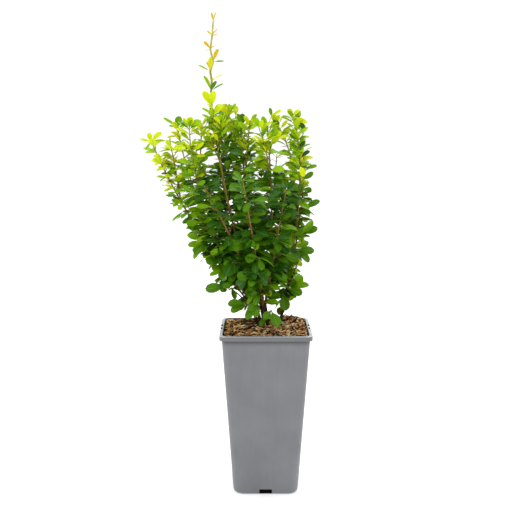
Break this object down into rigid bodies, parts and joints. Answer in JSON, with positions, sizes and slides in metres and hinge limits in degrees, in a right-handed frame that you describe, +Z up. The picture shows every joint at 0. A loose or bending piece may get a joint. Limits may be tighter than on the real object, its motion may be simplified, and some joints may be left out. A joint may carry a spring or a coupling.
{
  "type": "potted barberry",
  "caption": "Upright young barberry shrub with leafy shoots fanning out of a deep tapered square nursery pot, topped with bark mulch.",
  "frame": {"origin": "middle of the pot's flat underside", "axes": "+Z up along the pot's middle line, front towards -Y, +X to the right seen from the front"},
  "size_m": [0.2338, 0.1961, 0.6079],
  "materials": {
    "pot_plastic": "matte moulded grey plastic",
    "bark_mulch": "shredded bark over peat",
    "stem_bark": "thin ridged bark",
    "leaf": "smooth satin leaf"
  },
  "bodies": {
    "root": {"pot": "pot_plastic", "potting_mix": "bark_mulch", "stem_left": "stem_bark", "stem_leader": "stem_bark", "stem_middle": "stem_bark", "stem_right": "stem_bark", "stem_back": "stem_bark", "stem_front": "stem_bark", "foliage_left_front": "leaf", "foliage_far_left": "leaf", "foliage_left_back": "leaf", "foliage_leader": "leaf", "foliage_behind_leader": "leaf", "foliage_middle_left": "leaf", "foliage_middle_right": "leaf", "foliage_right_front": "leaf", "foliage_far_right": "leaf", "foliage_right_back": "leaf", "foliage_back_right": "leaf", "foliage_back_middle": "leaf", "foliage_back_left": "leaf", "foliage_front_left": "leaf", "foliage_front_middle": "leaf", "foliage_front_right": "leaf", "foliage_left_edge": "leaf", "foliage_right_edge": "leaf", "foliage_low_left": "leaf", "foliage_low_front_left": "leaf", "foliage_low_front": "leaf", "foliage_low_right": "leaf", "foliage_low_back_right": "leaf", "foliage_low_back_left": "leaf"}
  },
  "joints": []
}
